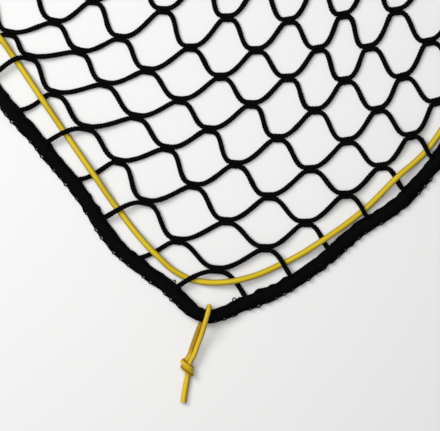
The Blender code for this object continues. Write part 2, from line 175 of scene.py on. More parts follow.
def unit(vector):
    """A vector, or each row of vectors, made 1 long."""
    return vector / np.linalg.norm(vector, axis=-1, keepdims=True)


def quarter_turn(vector):
    """A vector in plan, turned to its left."""
    return np.array([-vector[1], vector[0]])


def joint_way(p, q):
    """The line that a joint lies along: between the ways of the bars that pull at it."""
    along_x = unit(crossing(p + 1, q) - crossing(p - 1, q))
    along_y = unit(crossing(p, q - 1) - crossing(p, q + 1))
    return unit(along_x * JOINT_PULL + along_y * (1 - JOINT_PULL))


print((COLUMNS - 1) * (ROWS - 1), "joints, the nearest at", crossing(1, 1).round(1))


# %% The rim, which the border follows
RIM_STEPS = 4  # points for each mesh
RIM_ROUNDING = 3  # times that it is averaged, which rounds its corners


def averaged_ring(points, times):
    """A closed line, each of its points averaged with the two beside it so many times."""
    for _ in range(times):
        points = (np.roll(points, 1, 0) + 2 * points + np.roll(points, -1, 0)) / 4
    return points


def make_rim():
    """The border's centre line in plan, anticlockwise, with its corners rounded and its bows."""
    across, up = COLUMNS * RIM_STEPS, ROWS * RIM_STEPS
    stops = [(i, 0) for i in range(across)] + [(across, i) for i in range(up)]
    stops += [(across - i, up) for i in range(across)] + [(0, up - i) for i in range(up)]
    points = np.array([crossing(i / RIM_STEPS, j / RIM_STEPS) for i, j in stops])
    points = averaged_ring(points, RIM_ROUNDING)
    mesh = np.arange(len(points)) / RIM_STEPS
    mesh = np.where(mesh > COLUMNS + ROWS, mesh - 2 * (COLUMNS + ROWS), mesh)
    mesh = np.clip(mesh, BOWS[0].mesh, BOWS[-1].mesh)
    out = np.array([read(BOWS, "out", x) for x in mesh])
    way = unit(np.roll(points, -1, 0) - np.roll(points, 1, 0))
    return points + np.column_stack([way[:, 1], -way[:, 0]]) * out[:, None]


RIM = make_rim()
CORNER_MESHES = [0, COLUMNS, COLUMNS + ROWS, 2 * COLUMNS + ROWS]
MIDDLE = (RIM.min(0) + RIM.max(0)) / 2
VIEW_TURN = math.radians(-40.0)  # the joints lie along this line on average
ALONG = np.array([math.cos(VIEW_TURN), math.sin(VIEW_TURN)])
ASIDE = quarter_turn(ALONG)


def placed(plan, height):
    """A place in metres, from its place in plan and its height in millimetres."""
    x, y = plan - MIDDLE
    return np.array([x, y, height]) * MM


past_rim = np.array(cad_box[1])[:2] - (RIM.max(0) - RIM.min(0)) * MM / 2
print("rim:", len(RIM), "points; the ties reach", past_rim.round(3), "m past it along X and Y")

# %% [markdown]
# ## The camera
#
# The net is seen from straight above, turned so that its joints lie level in the picture. A long
# lens keeps the far and near strands the same size, as in a catalogue picture. One millimetre of
# net is one pixel, so the width of the frame gives the distance.

# %% Camera
FRAME_WIDTH = 0.440  # metres of floor across the picture
LENS = 150.0
SENSOR = 36.0
PICTURE_MIDDLE = np.array([75.7, 63.8])  # from the near left corner


def new_object(name, data):
    """An object in the scene."""
    made = bpy.data.objects.new(name, data)
    bpy.context.scene.collection.objects.link(made)
    return made


camera_data = bpy.data.cameras.new("Camera")
camera_data.lens = LENS
camera_data.sensor_width = SENSOR
camera = new_object("Camera", camera_data)
camera.location = placed(PICTURE_MIDDLE, FRAME_WIDTH * LENS / SENSOR / MM)
camera.rotation_euler = (0, 0, VIEW_TURN)
bpy.context.scene.camera = camera
print("camera height:", round(camera.location.z, 3), "m")

# %% [markdown]
# ## From a line to a strand
#
# Everything here is a tube round a line, so two tools do most of the work. The first finds, at
# each point of a line, which way it runs, which way is to its left and which way is up. The second
# puts a ring of points round each and joins the rings. Curve objects could do the same, but here
# the rings are also swollen and shifted to give braid and stitches, which a curve's bevel can't.
#
# Each strand keeps a map named yarn: across is the way round it, up is millimetres along it. The
# fibres of the materials follow that map.


# %% Line tools
def smooth_route(points, per_span=12, closed=False):
    """Points on a smooth curve through the given ones, per_span for each stretch between two."""
    points = np.asarray(points, float)
    if closed:
        ends = np.concatenate([points[-1:], points, points[:2]])
    else:
        ends = np.concatenate([[2 * points[0] - points[1]], points, [2 * points[-1] - points[-2]]])
    a, b, c, d = ends[:-3], ends[1:-2], ends[2:-1], ends[3:]
    route = []
    for t in np.arange(per_span) / per_span:
        bend_in = (2 * a - 5 * b + 4 * c - d) * t * t
        bend_out = (3 * b - a - 3 * c + d) * t**3
        route.append((2 * b + (c - a) * t + bend_in + bend_out) / 2)
    route = np.stack(route, 1).reshape(-1, points.shape[1])
    return route if closed else np.concatenate([route, points[-1:]])


def joined(line):
    """A closed line with its first point again at its end."""
    return np.concatenate([line, line[:1]])


def lengths(line, closed=False):
    """How far each point is along a line, and of a closed line also its first point again."""
    line = joined(line) if closed else line
    gaps = np.linalg.norm(np.diff(line[:, :3], axis=0), axis=1)
    return np.concatenate([[0], np.cumsum(gaps)])


def whole_length(line, closed=False):
    """In metres, to the millimetre."""
    return round(float(lengths(line, closed)[-1]), 3)


def soften(values, times):
    """Each value but the first and last averaged with the two beside it, so many times."""
    for _ in range(times):
        values[1:-1] = (values[:-2] + 2 * values[1:-1] + values[2:]) / 4
    return values


def read_line(line, along, places):
    """Every column of a line at other places, where along says the place of each of its points."""
    return np.stack([np.interp(places, along, column) for column in line.T], 1)


def even_line(line, step, closed=False):
    """The line again, with points about step apart."""
    line = joined(line) if closed else line
    along = lengths(line)
    count = max(2, round(along[-1] / step)) + 1
    made = read_line(line, along, np.linspace(0, along[-1], count))
    return made[:-1] if closed else made


def directions(line, closed=False):
    """The way along a line at each point."""
    if closed:
        return unit(np.roll(line, -1, 0) - np.roll(line, 1, 0))
    return unit(np.gradient(line, axis=0))


def level_frame(line, closed=False):
    """Left and up at each point of a line that never stands upright."""
    way = directions(line[:, :3], closed)
    left = unit(np.cross([0.0, 0.0, 1.0], way))
    return left, np.cross(way, left)


def carried_frame(line, first_left):
    """Left and up along a line that may stand upright: each is turned as little as can be."""
    way = directions(line)
    lefts = []
    left = np.asarray(first_left, float)
    for at in way:
        left = unit(left - at * left.dot(at))
        lefts.append(left)
    lefts = np.array(lefts)
    return lefts, np.cross(way, lefts)


# %% Surface tools
class Strands:
    """Tubes, gathered into the arrays of one mesh."""

    def __init__(self):
        self.points, self.corners, self.sizes, self.maps = [], [], [], []
        self.count = 0

    def tube(self, line, left, up, radius, sides, closed=False):
        """A tube round a line. radius is one number, or an array with a row for each ring."""
        turn = 2 * math.pi * np.arange(sides) / sides
        radius = np.broadcast_to(np.asarray(radius, float), (len(line), sides))
        ring = left[:, None] * np.cos(turn)[None, :, None] + up[:, None] * np.sin(turn)[None, :, None]
        points = line[:, None] + ring * radius[:, :, None]
        rings = len(line)
        along = lengths(line, closed) / MM
        steps = rings if closed else rings - 1
        i, j = np.mgrid[:steps, :sides]
        around_face = [(i, j), (i, j + 1), (i + 1, j + 1), (i + 1, j)]
        quads = np.stack([a % rings * sides + b % sides for a, b in around_face], 2)
        maps = np.stack([np.stack([b / sides, along[a]], 2) for a, b in around_face], 2)
        self.points.append(points.reshape(-1, 3))
        self.corners.append(quads.reshape(-1) + self.count)
        self.maps.append(maps.reshape(-1, 2))
        self.sizes.append(np.full(steps * sides, 4))
        first, last = self.count, self.count + (rings - 1) * sides
        self.count += rings * sides
        if not closed:
            self.cap(first, sides, line[0], along[0], True)
            self.cap(last, sides, line[-1], along[-1], False)

    def cap(self, first, sides, middle, at, facing_back):
        """A fan of triangles that closes a tube's end."""
        self.points.append(middle[None])
        j = np.arange(sides)
        rim, beside = first + j, first + (j + 1) % sides
        pair = (beside, rim) if facing_back else (rim, beside)
        fan = np.stack([*pair, np.full(sides, self.count)], 1)
        self.corners.append(fan.reshape(-1))
        self.maps.append(np.tile([[0.0, at]], (sides * 3, 1)))
        self.sizes.append(np.full(sides, 3))
        self.count += 1

    def piece(self, name):
        """One object of all the tubes, shaded smooth."""
        arrays = self.points, self.corners, self.sizes, self.maps
        points, corners, sizes, maps = [np.concatenate(array) for array in arrays]
        data = bpy.data.meshes.new(name)
        data.vertices.add(len(points))
        data.vertices.foreach_set("co", points.astype(np.float32).ravel())
        data.loops.add(len(corners))
        data.loops.foreach_set("vertex_index", corners.astype(np.int32))
        data.polygons.add(len(sizes))
        starts = np.concatenate([[0], np.cumsum(sizes)[:-1]])
        data.polygons.foreach_set("loop_start", starts.astype(np.int32))
        data.update(calc_edges=True)
        yarn = data.uv_layers.new(name="yarn")
        yarn.uv.foreach_set("vector", maps.astype(np.float32).ravel())
        data.shade_smooth()
        print(f"{name}: {int((sizes - 2).sum())} triangles")
        return new_object(name, data)


# %% [markdown]
# ## The tie cords
#
# A tie is one braided cord. It goes round the border's corner, both strands run to a knot, and one
# free end leaves the knot. In the knot one strand runs straight through, and the other is wound
# twice round it, which is what makes the two slanting bands that show. So the route is worked out
# as one line and cut where it turns over the border's inner edge: from there one cord goes over the
# border, through the knot and on to the free end, and the other goes under it and into the knot.
#
# The braid is in the mesh. Two sets of yarns wind round the cord, one each way, and the product of
# their two waves is a pattern of small cushions like that of a real sheath.

# %% Tie routes
TIE_DIAMETER = 5.2
TAIL_DIAMETER = 6.0  # the sheath is looser at the free end
# From the border's corner: outward, to the side, and above the floor
TieStop = namedtuple("TieStop", "out side height")
OVER_THE_BORDER = table(
    TieStop,
    (-9.2, 4.6, 9.4), (-8.9, 4.8, 12.2), (-4.6, 3.9, 15.9), (2.5, 1.9, 16.3),
    (11.0, -0.6, 13.9), (20.0, -3.4, 11.0), (29.0, -6.8, 9.0), (36.5, -9.4, 8.7),
    (42.1, -12.2, 8.6), (46.5, -14.4, 7.8), (50.5, -16.0, 6.6), (55.0, -16.8, 5.0),
    (60.5, -17.0, 3.6), (68.5, -18.4, 3.1), (78.5, -20.1, 3.1), (86.8, -21.3, 3.1),
)
UNDER_THE_BORDER = table(
    TieStop,
    (-9.2, 4.6, 9.4), (-9.1, 4.5, 6.8), (-5.8, 3.2, 3.1), (2.0, -0.4, 2.8), (12.0, -5.2, 2.8),
    (24.0, -9.6, 2.8), (34.0, -13.0, 2.8), (39.4, -14.8, 2.8),
)
KNOT_MIDDLE = TieStop(51.7, -17.3, 5.8)
KNOT_RADIUS = 4.2  # of the winding cord's centre line, sideways
KNOT_RADIUS_UP = 3.0
KNOT_START = -4.1  # along the tie from the knot's middle
KNOT_PITCH = 5.5  # from one turn to the next
KNOT_SKEW = 0.5  # how much the turns slant
KNOT_FROM, KNOT_TO = -0.35, 3.4  # half turns, where 0 is at the left and 0.5 on top
KNOT_STOPS = 22


def tie_point(corner, stop):
    """A stop in metres. Each corner's tie is a quarter turn on from the last one's."""
    away = ALONG * stop.side - ASIDE * stop.out
    for _ in range(corner):
        away = quarter_turn(away)
    return placed(RIM[CORNER_MESHES[corner] * RIM_STEPS] + away, stop.height)


def winding():
    """The stops of the cord that winds round the other one in the knot."""
    stops = []
    for half_turns in np.linspace(KNOT_FROM, KNOT_TO, KNOT_STOPS):
        turn = math.pi * (1 - half_turns)
        side = KNOT_RADIUS * math.cos(turn)
        out = KNOT_START + KNOT_PITCH * half_turns / 2 + KNOT_SKEW * side
        height = KNOT_MIDDLE.height + KNOT_RADIUS_UP * math.sin(turn)
        stops.append(TieStop(KNOT_MIDDLE.out + out, KNOT_MIDDLE.side + side, height))
    return stops


print("stops of the two strands:", len(OVER_THE_BORDER), "and", len(UNDER_THE_BORDER + winding()))

# %% Braid
BRAID_YARNS = 8  # each way round
BRAID_LAY = 2.6  # millimetres along the cord from one crossing to the next
BRAID_DEPTH = 0.34
TIE_STEP = 0.65
TIE_SIDES = 32
FREE_END = 27.0  # length of the looser free end
LOOSER_WITHIN = 6.0  # millimetres over which the sheath widens there


def braid(around, along, yarns, lay):
    """0 in the seams of a braided sheath and 1 on top of its yarns."""
    one = np.sin(math.pi * (yarns * around + along / lay))
    other = np.sin(math.pi * (yarns * around - along / lay))
    return np.sqrt(np.abs(one * other))


def make_cord(name, stops, corner, free_end):
    """A braided cord, looser over the last free_end millimetres, and its centre line."""
    line = smooth_route([tie_point(corner, stop) for stop in stops])
    line = even_line(line, TIE_STEP * MM)
    left, up = carried_frame(line, [*(ALONG if corner % 2 == 0 else ASIDE), 0])
    along = lengths(line) / MM
    around = np.arange(TIE_SIDES) / TIE_SIDES
    relief = braid(around[None, :], along[:, None], BRAID_YARNS, BRAID_LAY)
    looser = ease((along - along[-1] + free_end) / LOOSER_WITHIN) if free_end else 0 * along
    full = (TIE_DIAMETER + (TAIL_DIAMETER - TIE_DIAMETER) * looser[:, None]) / 2
    radius = (full - BRAID_DEPTH * (1 - relief)) * MM
    strands = Strands()
    strands.tube(line, left, up, radius, TIE_SIDES)
    return strands.piece(name), line


# %% Tie cords
ties = []
for corner in range(len(CORNER_MESHES)):
    tie = f"tie_{corner + 1}"
    over, over_line = make_cord(f"{tie}_free_end", OVER_THE_BORDER, corner, FREE_END)
    under, under_line = make_cord(f"{tie}_wound_end", UNDER_THE_BORDER + winding(), corner, 0)
    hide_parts(f"{tie}_loop", f"{tie}_tail")
    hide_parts(f"{tie}_knot")
    for cord, line, far_end in ((over, over_line, "bare"), (under, under_line, "knot")):
        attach(cord, "root")
        ties.append(cord)
    print(tie, "cord lengths:", whole_length(over_line), "and", whole_length(under_line), "m")

# %% [markdown]
# ## How the netting is knitted
#
# In knotless netting each bar is a small knitted chain round a few straight yarns, and where two
# chains meet they run side by side, stitched together, and part again. Followed from border to
# border, one chain goes down the lattice like a staircase: a bar along X, a joint, a bar along Y, a
# joint, and so on. So the panel is made of 24 staircases, not of 310 separate bars. At each joint
# a chain is the lower one of the pair if it came along X, and the upper one if it came along Y,
# and that is what gives the net its forked, level joints.

# %% Chains in a joint
JOINT_REACH = 3.9  # from a joint's middle to where the two chains begin to part
JOINT_OFFSET = 2.0  # of each chain's centre line in a joint
JOINT_SQUEEZE = 0.95  # a chain is drawn in to this share of its width in a joint
TWINE_REST = 2.4  # height of a chain's centre line on the floor
RAISED_JOINT = 5.2  # and where a bar that passes over the elastic starts


def joint_height(p, q):
    """How high a joint lies. A bar that passes over the elastic lifts the joint that it comes from."""
    raised = (q in (1, ROWS - 1) and p % 2 == 0) or (p in (1, COLUMNS - 1) and q % 2 == 1)
    return RAISED_JOINT if raised else TWINE_REST


def root(p, q, upper, right):
    """Where a chain leaves a joint, on its upper or lower side and at its right or left end."""
    way = joint_way(p, q)
    aside = quarter_turn(way) * (JOINT_OFFSET if upper else -JOINT_OFFSET)
    return crossing(p, q) + way * (JOINT_REACH if right else -JOINT_REACH) + aside


def bend(start, leave, end, arrive, shares, t):
    """Points on the curve from start to end with those directions, held for those shares of it."""
    length = np.linalg.norm(end - start)
    a, b = start + leave * length * shares[0], end - arrive * length * shares[1]
    t = np.asarray(t, float)[..., None]
    s = 1 - t
    return start * s**3 + a * (3 * s * s * t) + b * (3 * s * t * t) + end * t**3


print("a joint is", 2 * JOINT_REACH, "mm long from fork to fork")

# %% Bars that meet the border
BORDER_WIDTH = 15.6
ELASTIC_DIAMETER = 6.0
BEND_EDGE = 0.3, 0.3
BEND_DRAGGED = 0.15, 0.45  # the left side's bars that the elastic on top of them drags along
BAR_END_GAP = 0.6  # a bar's square end meets the border's curved edge
BAR_OVER = 8.85  # a bar's height where it passes over the elastic
BAR_OVER_AT_BORDER = 7.35
BAR_AT_BORDER = 4.6
ELASTIC_LOW, ELASTIC_HIGH = 3.1, 8.15
CROSSING_CLEAR = ELASTIC_DIAMETER / 2 + 0.6
SHORT_CROSSING = 5.3  # a bar that has less room than this past the elastic stays level
INTO_BORDER = 5.0  # how far a bar's yarns run on into the border
EDGE_BAR_POINTS = 24
BAR_SOFTENING = 2  # times that its heights are averaged

# The rim's mesh at each side's start, and which way the rim runs from there
Side = namedtuple("Side", "name first turn count table along_x")
SIDES = [
    Side("near", 0, 1, COLUMNS, NEAR_SIDE, True),
    Side("right", COLUMNS, 1, ROWS, LEFT_SIDE, False),
    Side("far", 2 * COLUMNS + ROWS, -1, COLUMNS, NEAR_SIDE, True),
    Side("left", 2 * (COLUMNS + ROWS), -1, ROWS, LEFT_SIDE, False),
]


class EdgeBar:
    """A bar from its joint to the border, over or under the elastic."""

    def __init__(self, side, n):
        self.over = (n % 2 == 0) if side.along_x else (n % 2 == 1)
        p, q = {"near": (n, 1), "far": (n, ROWS - 1), "left": (1, n), "right": (COLUMNS - 1, n)}[side.name]
        self.joint = (p, q)
        self.start = root(p, q, side.name in ("far", "right"), side.name in ("near", "right"))
        i = (side.first + side.turn * n) * RIM_STEPS % len(RIM)
        inward = quarter_turn(unit(RIM[(i + 1) % len(RIM)] - RIM[i - 1]))
        self.leave = joint_way(p, q) * (-1 if side.name in ("far", "left") else 1)
        self.way = unit(unit(RIM[i] - self.start) - inward)
        self.shares = BEND_EDGE
        if side.name == "left" and not self.over:
            self.way, self.shares = unit(self.way + self.leave), BEND_DRAGGED
        reach = (BORDER_WIDTH / 2 + BAR_END_GAP) / -self.way.dot(inward)
        self.end = RIM[i] - self.way * reach
        self.length = np.linalg.norm(self.end - self.start)
        self.cross = read(side.table, "elastic", n)

    def plan(self, distance):
        """Points at those distances from the border's end."""
        t = 1 - np.asarray(distance, float) / self.length
        return bend(self.start, self.leave, self.end, self.way, self.shares, t)

    def heights(self, distance):
        """Heights there: level where the elastic crosses, then down or up to both ends."""
        level = BAR_OVER if self.over else TWINE_REST
        at_border = BAR_OVER_AT_BORDER if self.over else BAR_AT_BORDER
        if self.cross <= CROSSING_CLEAR + SHORT_CROSSING:
            at_border = level
        joint = joint_height(*self.joint)
        halfway = (self.length + self.cross + CROSSING_CLEAR) / 2
        at = [0, self.cross - CROSSING_CLEAR, self.cross + CROSSING_CLEAR, halfway, self.length]
        return np.interp(distance, at, [at_border, level, level, (level + joint) / 2, joint])

    def line(self):
        """From the joint to the border and a little way into it, in millimetres."""
        distance = np.linspace(self.length, 0, EDGE_BAR_POINTS)
        plan, height = self.plan(distance), soften(self.heights(distance), BAR_SOFTENING)
        inside = np.append(self.end + self.way * INTO_BORDER, BAR_AT_BORDER)
        return np.concatenate([np.column_stack([plan, height]), [inside]])


edge_bars = {(side.name, n): EdgeBar(side, n) for side in SIDES for n in range(1, side.count)}
print("bars that meet the border:", len(edge_bars))

# %% Staircases
BEND_ALONG = 0.32, 0.12  # a bar along X leaves its joint level and meets the next one steeply
BEND_ACROSS = 0.3, 0.34
JOINT_POINTS, BAR_POINTS = 8, 18


def staircase(p, q):
    """The joints that a chain visits, from where it leaves the border at (p, q)."""
    visits = [(p, q)]
    along_x = p == 0
    while len(visits) == 1 or (p < COLUMNS and q > 0):
        p, q = (p + 1, q) if along_x else (p, q - 1)
        visits.append((p, q))
        along_x = not along_x
    return visits


def chain_line(visits):
    """A chain's centre line, with how far it is drawn in at each point as a fourth column."""
    along_x = visits[0][0] == 0
    first = edge_bars[("left", visits[0][1]) if along_x else ("far", visits[0][0])].line()[::-1]
    runs = [np.column_stack([first, np.zeros(len(first))])]
    for (p, q), (next_p, next_q) in zip(visits[1:-1], visits[2:]):
        upper = not along_x
        height = joint_height(p, q)
        start, end = root(p, q, upper, False), root(p, q, upper, True)
        plan = np.linspace(start, end, JOINT_POINTS)
        runs.append(np.column_stack([plan, np.full(JOINT_POINTS, height), np.ones(JOINT_POINTS)]))
        along_x = upper
        if 0 < next_p < COLUMNS and 0 < next_q < ROWS:
            arrive = root(next_p, next_q, not along_x, False)
            t = np.linspace(0, 1, BAR_POINTS)[1:-1]
            ways = joint_way(p, q), joint_way(next_p, next_q)
            plan = bend(end, ways[0], arrive, ways[1], BEND_ALONG if along_x else BEND_ACROSS, t)
            height = height + (joint_height(next_p, next_q) - height) * ease(t)
            runs.append(np.column_stack([plan, height, np.zeros(len(t))]))
    last_p, last_q = visits[-1]
    last = edge_bars[("right", last_q) if last_p == COLUMNS else ("near", last_p)].line()[1:]
    runs.append(np.column_stack([last, np.zeros(len(last))]))
    line = np.concatenate(runs)
    line[:, :2] -= MIDDLE
    line[:, :3] *= MM
    return line


starts = [(0, q) for q in range(1, ROWS)] + [(p, ROWS) for p in range(1, COLUMNS)]
chains = [chain_line(staircase(*start)) for start in starts]
print(len(chains), "chains,", round(sum(whole_length(line) for line in chains), 2), "m in all")

# %% [markdown]
# ## Yarn by yarn
#
# A knitted chain looks like a three-strand plait from above: two rows of slanting stitches with
# their points together. A plait is also simple to work out. Each yarn swings from side to side, it
# goes up and down twice as often, and the three are a third of a period apart. The straight yarns
# inside it are a flat tube, which closes the small gaps that a plait leaves.
#
# The stitches are fine, so they are most of the triangles in the scene. They are kept in three
# pieces, and the laid-in yarns, which are the cloth's own sheet, are a fourth.

# %% The plait
# Its width and height, a yarn's radius and sides, and the length of one full plait
Plait = namedtuple("Plait", "width height yarn sides period")
UNEVEN_REACH, UNEVEN_SHARE = 5, 0.06  # points from wave to wave of its width, and their size
rng = np.random.default_rng(12)


def wander(count, reach, size):
    """A slow random wave of about that size, the same on each run."""
    knots = rng.normal(0, 1, max(4, int(count / reach) + 4))
    return np.interp(np.arange(count), np.arange(len(knots)) * reach, knots) * size


def add_plait(strands, line, squeeze, plait, closed=False):
    """Three yarns round a line, each a tube of its own."""
    left, up = level_frame(line, closed)
    along = lengths(line, closed) / MM
    count = len(line)
    period = along[-1] / round(along[-1] / plait.period) if closed else plait.period
    full = squeeze * (1 + wander(count, UNEVEN_REACH, UNEVEN_SHARE))
    for k in range(3):
        turn = 2 * math.pi * (along[:count] / period + k / 3)
        swing = (plait.width / 2 - plait.yarn) * full * np.sin(turn) * MM
        rise = (plait.height / 2 - plait.yarn) * np.sin(2 * turn) * MM
        centre = line + left * swing[:, None] + up * rise[:, None]
        way = directions(centre, closed)
        yarn_left = unit(np.cross(up, way))
        thick = (plait.yarn * np.sqrt(full) * MM)[:, None]
        strands.tube(centre, yarn_left, np.cross(way, yarn_left), thick, plait.sides, closed)


def oval(wide, high, sides):
    """The radius of an oval section at each of its sides, from half its width and half its height."""
    turn = 2 * math.pi * np.arange(sides) / sides
    return wide * high / np.hypot(high * np.cos(turn), wide * np.sin(turn))


# %% The netting
NET_PLAIT = Plait(width=5.6, height=4.4, yarn=1.12, sides=5, period=9.0)
STITCH_STEP = 1.12
STITCH_SOFTENING, LAID_SOFTENING = 3, 2  # times that the squeeze in the joints is averaged
STITCH_PIECES = 3
LAID_WIDTH, LAID_HEIGHT = 4.5, 3.2
LAID_STEP = 1.7
LAID_SIDES = 6

laid, stitches = Strands(), [Strands() for _ in range(STITCH_PIECES)]
total = sum(len(chain) for chain in chains)
done = 0
for chain in chains:
    fine = even_line(chain, STITCH_STEP * MM)
    squeeze = soften(1 - (1 - JOINT_SQUEEZE) * fine[:, 3], STITCH_SOFTENING)
    group = stitches[STITCH_PIECES * done // total]
    add_plait(group, fine[:, :3], squeeze, NET_PLAIT)
    coarse = even_line(chain, LAID_STEP * MM)
    left, up = level_frame(coarse[:, :3])
    squeeze = soften(1 - (1 - JOINT_SQUEEZE) * coarse[:, 3], LAID_SOFTENING)
    radius = oval(LAID_WIDTH / 2 * squeeze[:, None], LAID_HEIGHT / 2, LAID_SIDES)
    laid.tube(coarse[:, :3], left, up, radius * MM, LAID_SIDES)
    done += len(chain)

net_laid = laid.piece("net_laid_yarns")
net_stitches = [group.piece(f"net_stitches_{k + 1}") for k, group in enumerate(stitches)]

# %% [markdown]
# ## The border
#
# The border is knitted in one with the net: four chains side by side round laid-in yarns, drawn
# together by a thread that is carried over the outer edge. That thread lies along the edge for a
# few millimetres at each turn and leaves small eyes, and the chains wander a little, which is why
# the real edge looks ragged. A band with a bumpy texture would keep a smooth outline, and on black
# the outline is what shows.

# %% Border line
BORDER_LIFT = 6.6  # at the corners, where it lies on its tie cords
CORNER_REACH = 1.0  # meshes over which the lift dies out
CORNER_PINCH = 0.82
BORDER_STEP = 1.25

rim_steps = np.arange(len(RIM)) / RIM_STEPS
rim_corners = np.array(CORNER_MESHES + [2 * (COLUMNS + ROWS)])
from_corner = np.abs(rim_steps[:, None] - rim_corners).min(1)
cornering = ease(1 - from_corner / CORNER_REACH)
rim_pinch = 1 - (1 - CORNER_PINCH) * cornering
rim_line = np.column_stack([(RIM - MIDDLE) * MM, BORDER_LIFT * cornering * MM, rim_pinch])
border_line = even_line(smooth_route(rim_line, closed=True), BORDER_STEP * MM, True)
border_pinch = border_line[:, 3]
border_left, border_up = level_frame(border_line[:, :3], True)
border_round = float(lengths(border_line, True)[-1])
print("the border is", round(border_round, 3), "m round")

# %% Eyes along the edge
EDGE_PITCH = 9.2  # from one turn of the edge thread to the next
EYE_DEPTH = 1.1  # how far the outer chain stands back at a large eye
EYE_BULGE = 1.1  # how far the thread stands off there
EYE_SPREAD = 1.2  # over 1 makes small eyes commoner than large ones

turns = round(border_round / (EDGE_PITCH * MM))
eye_size = rng.uniform(0.0, 1.0, turns + 1) ** EYE_SPREAD
eye_size[-1] = eye_size[0]


def eyes(phase):
    """How far open the edge is, from 0 to 1. A phase of 1 is one turn of its thread."""
    size = np.interp(phase, np.arange(turns + 1), eye_size)
    return size * np.maximum(0, np.cos(2 * math.pi * phase)) ** 2


print(turns, "turns of the edge thread")

# %% Border chains
# Where each chain lies in the border's section, and how far it wanders from there
BorderChain = namedtuple("BorderChain", "inward height ragged")
BORDER_CHAINS = table(
    BorderChain,
    (5.8, 3.4, 0.5), (2.3, 5.3, 0.2), (-1.3, 5.3, 0.2), (-4.3, 3.4, 0.5),
)
BORDER_PLAIT = Plait(width=4.6, height=5.0, yarn=1.15, sides=5, period=9.5)
RAGGED_REACH, RAGGED_RISE = 4, 0.3


def beside_border(inward, height):
    """A line that keeps to one place of the border's section, or to a place for each point."""
    line = border_line[:, :3] + border_left * (inward * border_pinch * MM)[:, None]
    line[:, 2] += height * MM
    return line


def ring_wander(count, reach, size):
    """A random wave that closes on itself."""
    knots = rng.normal(0, size, round(count / reach))
    at = np.arange(count) / count * len(knots)
    return np.interp(at, np.arange(len(knots) + 1), joined(knots))


border_stitches = [Strands() for _ in range(2)]  # two chains in each
for k, chain in enumerate(BORDER_CHAINS):
    sway = ring_wander(len(border_line), RAGGED_REACH, chain.ragged)
    inward = chain.inward + sway
    if k == len(BORDER_CHAINS) - 1:
        inward += EYE_DEPTH * eyes(np.arange(len(border_line)) / len(border_line) * turns)
    line = beside_border(inward, chain.height + np.abs(sway) * RAGGED_RISE)
    add_plait(border_stitches[k // 2], line, border_pinch, BORDER_PLAIT, True)
border_knit = [group.piece(f"border_stitches_{k + 1}") for k, group in enumerate(border_stitches)]

# %% Laid-in yarns of the border
CORE_INWARD, CORE_HEIGHT = 0.2, 4.1
CORE_HALF_WIDTH, CORE_HALF_HEIGHT = 5.9, 3.5
CORE_SIDES = 10
CORE_EVERY = 2  # of the border line's points

filling = Strands()
core = beside_border(CORE_INWARD, CORE_HEIGHT)[::CORE_EVERY]
core_radius = oval(CORE_HALF_WIDTH, CORE_HALF_HEIGHT, CORE_SIDES) * border_pinch[::CORE_EVERY, None]
filling.tube(core, *level_frame(core, True), core_radius * MM, CORE_SIDES, True)
border_laid = filling.piece("border_laid_yarns")

# %% Edge thread
EDGE_THREAD = 0.72
EDGE_THREAD_SIDES = 7
EDGE_POINTS = 15  # of each turn
EDGE_INWARD = -6.8
EDGE_HEIGHT, EDGE_SWING, EDGE_SWING_START = 3.4, 1.2, 1.0

phase = np.arange(turns * EDGE_POINTS) / EDGE_POINTS
place_round = phase / turns * len(border_line) % len(border_line)
# The thread follows the last chain, so it sways with it
followed = joined(np.column_stack([border_line, border_left, sway]))
followed = read_line(followed, np.arange(len(followed)), place_round)
middle, pinch, left, outer_sway = np.split(followed, [3, 4, 7], 1)
inward = EDGE_INWARD - EYE_BULGE * eyes(phase)[:, None] + outer_sway
edge_line = middle + left * inward * pinch * MM
edge_line[:, 2] += (EDGE_HEIGHT + EDGE_SWING * np.sin(2 * math.pi * phase + EDGE_SWING_START)) * MM
edge = Strands()
edge.tube(edge_line, *level_frame(edge_line, True), EDGE_THREAD * MM, EDGE_THREAD_SIDES, True)
print("the edge thread is", whole_length(edge_line, True), "m long")

# %% Stray loops
Stray = namedtuple("Stray", "mesh inward size")
STRAYS = [Stray(0.78, 6.2, 0.95), Stray(-1.03, 7.8, 0.7)]
STRAY_ROUTE = [(-0.8, -1.0), (-1.9, 1.2), (-1.3, 3.1), (0.1, 3.9), (1.4, 3.0), (1.8, 1.1), (0.6, -1.0)]
STRAY_THREAD = 0.62
STRAY_SIDES = 6
STRAY_HEIGHT, STRAY_LEAN = 6.4, 0.4
for stray in STRAYS:
    root_point = round(stray.mesh / rim_steps[-1] * len(border_line)) % len(border_line)
    middle, aside = border_line[root_point, :3], border_left[root_point]
    way = np.cross(aside, border_up[root_point])
    route = []
    for along, inward in STRAY_ROUTE:
        plan = aside * (stray.inward + inward * stray.size) + way * along * stray.size
        route.append(middle + (plan + [0, 0, STRAY_HEIGHT + STRAY_LEAN * inward]) * MM)
    route = smooth_route(route, 6)
    edge.tube(route, *level_frame(route), STRAY_THREAD * MM, STRAY_SIDES)
print(len(STRAYS), "stray loops")
border_edge = edge.piece("border_edge_thread")

# %% [markdown]
# ## The elastic cord
#
# The elastic is one ring. It goes over one bar and under the next all the way round, so its line
# rises and falls gently, and the bars that pass over it rise instead. Between two bars the curve
# gets one more point, so that it bulges as its ways at both bars ask for and never kinks.

# %% Elastic
ELASTIC_CORNER = 3.0  # how far the ring bulges towards each corner
ELASTIC_STEP = 1.6
ELASTIC_SIDES = 16
ELASTIC_SMOOTHING = 6
BAR_WIDTH = 5.3


